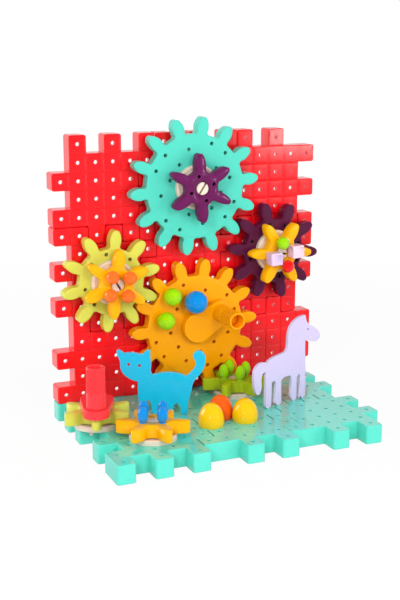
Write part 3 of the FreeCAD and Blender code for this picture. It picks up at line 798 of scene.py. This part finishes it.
@dataclass(frozen=True)
class Petal:
    """Half of a gear's petal as tangent arcs, from its tip to the root between two petals.

    Attributes:
        teeth: Number of petals.
        tip: Radius of the gear, in millimetres like every length here.
        root: Radius between the petals.
        half_width: Half of a petal's greatest width.
        widest: How far beyond the root a petal is widest.
        tip_round: Radius of the round tip.
        root_round: Radius of the fillet at a petal's foot.
    """

    teeth: int
    tip: float
    root: float
    half_width: float
    widest: float
    tip_round: float
    root_round: float

    def arcs(self) -> list[tuple[complex, float, float, float]]:
        """Gives the middle, radius, first and last angle of each arc, a hollow one's radius < 0."""
        tip = complex(self.tip - self.tip_round)
        widest = self.root + self.widest
        flank = ((tip.real - widest) ** 2 + self.half_width ** 2 - self.tip_round ** 2) / (
            2 * (self.half_width - self.tip_round))
        middle = complex(widest, self.half_width - flank)
        far, near, apart = flank + self.root_round, self.root + self.root_round, abs(middle)
        along = (near ** 2 - far ** 2 + apart ** 2) / (2 * apart)
        fillet = middle / apart * complex(along, math.sqrt(near ** 2 - along ** 2))
        upper, lower, foot = phase(tip - middle), phase(fillet - middle), phase(fillet)
        return [
            (tip, self.tip_round, 0.0, upper),
            (middle, flank, upper, lower),
            (fillet, -self.root_round, lower - math.pi, foot - math.pi),
            (0j, self.root, foot, math.pi / self.teeth),
        ]

    def carry(self, point: complex, other: "Petal", wall: float) -> complex:
        """Carries a point near this outline to the same place near another one.

        Args:
            point: The point, with the petal along the real axis.
            other: The petal to carry it to.
            wall: Thickness of the gear's outer wall.

        Returns:
            Its new place, or the old one where it isn't near the outline.
        """
        nearest, place = NEAR_WALL * wall, point
        for old, new in zip(self.arcs(), other.arcs()):
            ray = point - old[0]
            share = (phase(ray) - old[2]) / (old[3] - old[2])
            depth = math.copysign(1, old[1]) * (abs(old[1]) - abs(ray))
            if -0.03 < share < 1.03 and -0.1 < depth and abs(depth) < nearest:
                nearest = abs(depth)
                if depth > INNER_WALL * wall and (old[1] < 0 or old[0] == 0):
                    depth *= FOOT_WALL
                turn = new[2] + min(max(share, 0), 1) * (new[3] - new[2])
                reach = abs(new[1]) - math.copysign(1, new[1]) * depth
                place = new[0] + rect(reach, turn)
        return place


@dataclass
class Refined(SubAssembly):
    """Pieces that are copies of CAD nodes with a finer form or another turn.

    Attributes:
        gears: CAD node of each small gear, which way it stands and its finish.
        cast: The petals of the CAD node.
        fine: The petals of the copy.
        wall: Thickness of a gear's outer wall, in millimetres.
        cubes: CAD node of each cube bead and its finish.
        cube_turn: Angle by which the cubes turn on their pegs.
    """

    gears: Sequence[tuple[str, Mount, Moulding]]
    cubes: Sequence[tuple[str, Moulding]]
    cast: Petal = Petal(6, 34.6, 19.2, 5.7, 8.5, 3.9, 3.4)
    fine: Petal = Petal(6, 34.5, 16.8, 5.1, 6.2, 3.1, 4.5)
    wall: float = 2.2
    cube_turn: float = math.radians(34)

    def build(self, shop: Workshop) -> None:
        """Makes the copies."""
        for node, mount, finish in self.gears:
            self.copy(shop, node, mount, finish, self.reform)
        for node, finish in self.cubes:
            self.copy(shop, node, Mount.WALL, finish, self.turn)

    def reform(self, points: Sequence[complex]) -> list[complex]:
        """Gives the points of a gear, which lie round its axis, their finer places."""
        step = 2 * math.pi / self.cast.teeth
        tips = [point for point in points if abs(point) > self.cast.tip - 0.3]
        first = phase(sum((tip / abs(tip)) ** self.cast.teeth for tip in tips)) / self.cast.teeth
        places = []
        for point in points:
            turn = first + round((phase(point) - first) / step) * step
            local = point * rect(1, -turn)
            half = self.cast.carry(complex(local.real, abs(local.imag)), self.fine, self.wall)
            places.append((half if local.imag >= 0 else half.conjugate()) * rect(1, turn))
        return places

    def turn(self, points: Sequence[complex]) -> list[complex]:
        """Turns the points of a cube round its peg."""
        return [point * rect(1, self.cube_turn) for point in points]

    def copy(self, shop: Workshop, node: str, mount: Mount, finish: Moulding,
             change: Callable[[Sequence[complex]], list[complex]]) -> None:
        """Makes the changed copy of a CAD node.

        Args:
            shop: The workshop.
            node: The node.
            mount: Which way it stands.
            finish: Its finish.
            change: Gives the new places of points in millimetres round the middle.
        """
        low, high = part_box(node)
        middle = (low + high) / 2
        second = 2 if mount is Mount.WALL else 1
        work = bmesh.new()
        work.from_mesh(shop.frame["nodes"][node].data)
        bmesh.ops.remove_doubles(work, verts=work.verts, dist=WELD)
        corners = list(work.verts)
        points = [
            complex(corner.co.x - middle.x, corner.co[second] - middle[second]) / MILLIMETRE
            for corner in corners
        ]
        for corner, place in zip(corners, change(points)):
            corner.co.x = middle.x + place.real * MILLIMETRE
            corner.co[second] = middle[second] + place.imag * MILLIMETRE
        mesh = bpy.data.meshes.new("fine_" + node)
        work.to_mesh(mesh)
        work.free()
        mesh.polygons.foreach_set("use_smooth", [True] * len(mesh.polygons))
        mesh.set_sharp_from_angle(angle=SHARP)
        mesh.materials.append(shop.finish(finish))
        piece = bpy.data.objects.new("fine_" + node, mesh)
        bpy.context.scene.collection.objects.link(piece)
        shop.stand_in(piece, node)


@dataclass(frozen=True)
class BeadRow:
    """Round beads of one colour on one gear.

    Attributes:
        node: CAD node that they stand for.
        mount: Which way they stand.
        finish: Their finish.
        egg: Whether they are eggs.
    """

    node: str
    mount: Mount
    finish: Moulding
    egg: bool = False


@dataclass
class Beads(SubAssembly):
    """Balls and eggs that are pegged into the gears.

    Attributes:
        rows: The round beads.
        ball_stand: Height of a ball above its gear.
        egg_length: Height of an egg.
        egg_reach: Height of an egg's top above its gear.
        egg_taper: Share by which an egg narrows upwards.
        peg_radius: Radius of the pegs.
    """

    rows: Sequence[BeadRow]
    ball_stand: float = 0.0004
    egg_length: float = 0.0153
    egg_reach: float = 0.0154
    egg_taper: float = 0.10
    peg_radius: float = 0.00185

    def build(self, shop: Workshop) -> None:
        """Makes the round beads."""
        recipe = bead_recipe()
        for row in self.rows:
            self.string(shop, recipe, row)

    def string(self, shop: Workshop, recipe: Recipe, row: BeadRow) -> None:
        """Makes the beads of one row.

        Args:
            shop: The workshop.
            recipe: The tree of a bead.
            row: The row.
        """
        seats = []
        for low, high in islands(shop.frame["nodes"][row.node].data):
            middle = (low + high) / 2
            radius = (high.x - low.x) / 2
            reach = self.egg_reach if row.egg else 2 * radius + self.ball_stand
            if row.mount is Mount.WALL:
                seats.append(Vector((middle.x, low.y + reach, middle.z)))
                deep = high.y - low.y - reach
            else:
                seats.append(Vector((middle.x, middle.y, high.z - reach)))
                deep = high.z - low.z - reach
        length = self.egg_length if row.egg else 2 * radius
        name = row.node.replace("balls", "beads").replace("ball", "bead").replace("eggs", "egg_beads")
        piece = recipe.make(name, seats, {
            "Radius": radius * 0.99 if row.egg else radius,
            "Length": length,
            "Stand": reach - length,
            "Taper": self.egg_taper if row.egg else 0.0,
            "Peg": self.peg_radius,
            "Peg Length": deep,
            "Turn": row.mount.value,
            "Material": shop.finish(row.finish),
        })
        shop.stand_in(piece, row.node)


@dataclass
class Cranks(SubAssembly):
    """The two cranks, whose arms are CAD nodes and whose ribbed grips are made here.

    Attributes:
        grips: CAD node of each grip, which way it stands and its finish.
        length: Length of a grip.
        base_radius: Radius at its lower rim.
        end_radius: Radius at its open end.
        ribs: Ribs round it.
        rib_height: Height of the ribs.
    """

    grips: Sequence[tuple[str, Mount, Moulding]]
    length: float = 0.0395
    base_radius: float = 0.0092
    end_radius: float = 0.0087
    ribs: int = 26
    rib_height: float = 0.0009

    def build(self, shop: Workshop) -> None:
        """Gives the arms their finish and makes the grips."""
        self.dress(shop)
        recipe = grip_recipe()
        for node, mount, finish in self.grips:
            low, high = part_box(node)
            seat = (low + high) / 2
            if mount is Mount.WALL:
                seat.y = high.y
            else:
                seat.z = low.z
            piece = recipe.make(node.replace("handle", "grip"), [seat], {
                "Length": self.length,
                "Base Radius": self.base_radius,
                "End Radius": self.end_radius,
                "Ribs": self.ribs,
                "Rib Height": self.rib_height,
                "Turn": mount.value,
                "Material": shop.finish(finish),
            })
            shop.stand_in(piece, node)


WALL_RED = Moulding("wall_red", (250, 12, 24), gloss=0.30, sheen=0.36, coat=0.5, coat_blur=0.1,
                    relief=Relief.WALL_CELLS)
FLOOR_AQUA = Moulding("floor_aqua", (92, 220, 200), gloss=0.22, coat=0.75, coat_blur=0.05,
                      wave=0.00002, wave_size=0.02, relief=Relief.FLOOR_CELLS)
BASE_CREAM = Moulding("base_cream", (232, 214, 196), gloss=0.4, coat=0.3)
GEAR_ORANGE = Moulding("gear_orange", (255, 166, 0), relief=Relief.DISC, around="drive_base")
GEAR_LIME = Moulding("gear_lime", (212, 212, 84))
GEAR_PURPLE = Moulding("gear_purple", (84, 20, 58))
GEAR_AQUA = Moulding("gear_aqua", (82, 208, 187), relief=Relief.DISC, around="top_base")
GEAR_PLUM = Moulding("gear_plum", (104, 24, 84))
GEAR_YELLOW = Moulding("gear_yellow", (250, 178, 0))
GEAR_GREEN = Moulding("gear_green", (176, 194, 24))
CRANK_AMBER = Moulding("crank_amber", (255, 166, 0))
CRANK_RED = Moulding("crank_red", (255, 58, 64))
BEAD_ORANGE = Moulding("bead_orange", (255, 112, 34), gloss=0.18, sheen=0.1, coat=1.0)
BEAD_PINK = Moulding("bead_pink", (250, 208, 226), gloss=0.2, sheen=0.1, coat=1.0)
BEAD_GREEN = Moulding("bead_green", (158, 222, 0), gloss=0.18, sheen=0.1, coat=1.0)
BEAD_LEAF = Moulding("bead_leaf", (158, 222, 0), gloss=0.18, sheen=0.1, coat=1.0)
BEAD_LILAC = Moulding("bead_lilac", (228, 200, 238), gloss=0.2, sheen=0.1, coat=1.0)
BEAD_RED = Moulding("bead_red", (246, 20, 22), gloss=0.18, sheen=0.1, coat=1.0)
BEAD_BLUE = Moulding("bead_blue", (0, 140, 222), gloss=0.18, sheen=0.1, coat=1.0)
DOME_YELLOW = Moulding("dome_yellow", (250, 196, 10), gloss=0.2, coat=0.6)
DOME_ORANGE = Moulding("dome_orange", (252, 96, 14), gloss=0.2, coat=0.6)
# edge=0.8 paints a strong highlight along the cat's edges
CAT_BLUE = Moulding("cat_blue", (24, 190, 232), gloss=0.25, coat=0.6, edge=0.8, soft_edge=0.0009)
HORSE_LILAC = Moulding("horse_lilac", (212, 198, 234), gloss=0.25, coat=0.5)

SUB_ASSEMBLIES = (
    SubAssembly("wall", {"wall_panel_*": WALL_RED}),
    SubAssembly("floor", {"floor_panel_*": FLOOR_AQUA}),
    SubAssembly("axles", {f"{place}_base": BASE_CREAM for place in (
        "drive", "top", "left", "right", "top_stack", "left_stack", "right_stack",
        "floor_crank", "floor_front", "floor_back")}),
    SubAssembly("gears", {
        "drive_gear": GEAR_ORANGE, "top_gear": GEAR_AQUA, "left_gear": GEAR_LIME,
        "right_gear": GEAR_PURPLE, "floor_back_gear": GEAR_GREEN}),
    Refined(
        "small gears and cubes",
        {},
        gears=(("top_small_gear", Mount.WALL, GEAR_PLUM),
               ("left_small_gear", Mount.WALL, GEAR_YELLOW),
               ("right_small_gear", Mount.WALL, GEAR_YELLOW),
               ("floor_crank_gear", Mount.FLOOR, GEAR_LIME),
               ("floor_front_gear", Mount.FLOOR, GEAR_YELLOW)),
        cubes=(("right_pink_cube", BEAD_PINK), ("right_lilac_cube", BEAD_LILAC)),
    ),
    Cranks(
        "cranks",
        {"drive_crank_*": CRANK_AMBER, "floor_crank_arm": CRANK_RED,
         "floor_crank_handle": CRANK_RED, "floor_crank_cap": CRANK_RED},
        grips=(("drive_crank_handle", Mount.WALL, CRANK_AMBER),
               ("floor_crank_handle", Mount.FLOOR, CRANK_RED)),
    ),
    Beads(
        "beads",
        {},
        rows=(
            BeadRow("left_orange_balls", Mount.WALL, BEAD_ORANGE),
            BeadRow("right_green_ball", Mount.WALL, BEAD_GREEN),
            BeadRow("right_red_ball", Mount.WALL, BEAD_RED),
            BeadRow("drive_green_balls", Mount.WALL, BEAD_GREEN),
            BeadRow("drive_blue_ball", Mount.WALL, BEAD_BLUE),
            BeadRow("floor_front_eggs", Mount.FLOOR, BEAD_BLUE, egg=True),
            BeadRow("floor_back_eggs", Mount.FLOOR, BEAD_LEAF, egg=True),
        ),
    ),
    SubAssembly("figures", {"dome_yellow_*": DOME_YELLOW, "dome_orange": DOME_ORANGE,
                            "cat": CAT_BLUE, "horse": HORSE_LILAC}),
)


# ------------------------------------------------------------------------------ the studio


@dataclass(frozen=True)
class Softbox:
    """A large square lamp.

    Attributes:
        name: The lamp's name.
        at: Where it hangs.
        aim: The point it faces.
        side: Its width.
        power: Its power in watts.
        mirrored: Whether it shows in gloss.
    """

    name: str
    at: Triple
    aim: Triple
    side: float
    power: float
    mirrored: bool = True

    def hang(self) -> None:
        """Makes the lamp."""
        data = bpy.data.lights.new(self.name, "AREA")
        data.shape, data.size, data.energy = "SQUARE", self.side, self.power
        lamp = bpy.data.objects.new(self.name, data)
        lamp.location = self.at
        facing = Vector(self.aim) - Vector(self.at)
        lamp.rotation_euler = facing.to_track_quat("-Z", "Y").to_euler()
        lamp.visible_glossy = self.mirrored
        bpy.context.scene.collection.objects.link(lamp)


@dataclass(frozen=True)
class Studio:
    """White floor, white surroundings, softboxes and the camera.

    Attributes:
        softboxes: The lamps.
        ambient: Strength of the surroundings as light on the object.
        dim: Strength of the surroundings in gloss, on the player's side.
        seen: Strength of the surroundings in gloss, behind the object.
        floor_share: How much of the floor's white is its own, so that shadows stay pale.
        camera_at: Where the camera stands.
        camera_axes: Its right, up and forward directions.
        lens: Its focal length in millimetres, on a sensor 36 mm high.
    """

    softboxes: Sequence[Softbox]
    ambient: float
    dim: float
    seen: float
    floor_share: float
    camera_at: Triple
    camera_axes: tuple[Triple, Triple, Triple]
    lens: float

    def surround(self) -> None:
        """Makes the white surroundings."""
        world = bpy.data.worlds.new("surroundings")
        bpy.context.scene.world = world
        world.use_nodes = True
        graph = Graph(world.node_tree)
        path = graph.node("ShaderNodeLightPath", out="Is Camera Ray")
        glossy = Signal(graph, path.socket.node.outputs["Is Glossy Ray"])
        through = Signal(graph, path.socket.node.outputs["Is Transmission Ray"])
        _, depth, _ = graph.split(graph.node("ShaderNodeTexCoord", out="Generated"))
        shown = depth.ramp(-0.1, 0.55) * (self.seen - self.dim) + self.dim
        strength = self.ambient + (path + through) * (1 - self.ambient)
        strength = strength + glossy * (shown - self.ambient)
        background = graph.node(
            "ShaderNodeBackground", None, {"Color": (1.0, 1.0, 1.0, 1.0), "Strength": strength}
        )
        graph.node("ShaderNodeOutputWorld", None, {"Surface": background})

    def lay_floor(self) -> None:
        """Lays a white floor that keeps a pale shadow."""
        size, below = 6.0, 0.0004
        mesh = bpy.data.meshes.new("studio_floor")
        corners = [(-size, -size, 0), (size, -size, 0), (size, size, 0), (-size, size, 0)]
        mesh.from_pydata([Vector(c) for c in corners], [], [(0, 1, 2, 3)])
        floor = bpy.data.objects.new("studio_floor", mesh)
        floor.location.z = -below
        bpy.context.scene.collection.objects.link(floor)
        material = bpy.data.materials.new("studio_white")
        material.use_nodes = True
        graph = Graph(material.node_tree)
        path = graph.node("ShaderNodeLightPath", out="Is Camera Ray")
        glossy = Signal(graph, path.socket.node.outputs["Is Glossy Ray"])
        across, depth, _ = graph.split(graph.node("ShaderNodeTexCoord", out="Object"))
        reach = (across ** 2 + depth ** 2) ** 0.5
        far = reach.ramp(0.35, 1.1)
        paint = graph.node(
            "ShaderNodeBsdfDiffuse", None, {"Color": (0.9, 0.9, 0.9, 1.0)}, "BSDF"
        )
        behind = depth.ramp(-0.35, 0.25) * (self.seen - self.dim) + self.dim
        white = graph.node(
            "ShaderNodeEmission",
            None,
            {"Color": (1.0, 1.0, 1.0, 1.0), "Strength": path + (1 - path) * behind},
        )
        share = path * (self.floor_share + far * (1 - self.floor_share)) + glossy
        mixed = graph.node("ShaderNodeMixShader", None, {0: share, 1: paint, 2: white})
        graph.node("ShaderNodeOutputMaterial", None, {"Surface": mixed})
        mesh.materials.append(material)

    def set_camera(self) -> None:
        """Sets up the camera."""
        data = bpy.data.cameras.new("camera")
        data.sensor_fit, data.sensor_width, data.lens = "AUTO", 36.0, self.lens
        data.clip_start, data.clip_end = 0.01, 50.0
        camera = bpy.data.objects.new("camera", data)
        right, up, forward = (Vector(axis).normalized() for axis in self.camera_axes)
        turn = Matrix((right, up, -forward)).transposed().to_4x4()
        camera.matrix_world = Matrix.Translation(self.camera_at) @ turn
        bpy.context.scene.collection.objects.link(camera)
        bpy.context.scene.camera = camera

    def build(self) -> None:
        """Makes all of the studio."""
        bpy.context.scene.view_settings.view_transform = "Standard"
        self.surround()
        self.lay_floor()
        for softbox in self.softboxes:
            softbox.hang()
        self.set_camera()


STUDIO = Studio(
    softboxes=(
        Softbox("key", (-0.95, -0.95, 0.85), (0.0, 0.0, 0.12), 0.38, 8.0, mirrored=False),
        Softbox("second", (0.15, -1.35, 0.75), (0.05, 0.0, 0.12), 0.38, 6.6, mirrored=False),
        Softbox("front_right", (1.1, -0.9, 0.45), (0.1, 0.05, 0.12), 0.8, 4.2, mirrored=False),
        Softbox("spark_left", (-0.85, -1.30, 0.34), (0.0, 0.0, 0.14), 0.16, 1.6),
        Softbox("spark_right", (0.75, -1.05, 0.22), (0.0, 0.0, 0.14), 0.16, 1.1),
        Softbox("back_left", (-1.2, 0.75, 0.55), (-0.1, 0.08, 0.15), 0.7, 7.5),
    ),
    ambient=0.52,
    dim=0.12,
    seen=0.95,
    floor_share=0.93,
    camera_at=(-0.42388, -0.93689, 0.37475),
    camera_axes=(
        (0.91655419, -0.39990933, 0.0009786),
        (0.09109254, 0.21115691, 0.97319829),
        (0.38939771, 0.89189982, -0.2299655),
    ),
    lens=65.377,
)


def main() -> dict:
    """Builds the scene.
    """
    logging.basicConfig(level=logging.INFO, format="%(message)s")
    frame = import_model()
    shop = Workshop(frame, Grid.of_frame(), {})
    for sub_assembly in SUB_ASSEMBLIES:
        sub_assembly.build(shop)
    STUDIO.build()
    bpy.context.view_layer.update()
    return frame


if __name__ == "__main__":
    main()
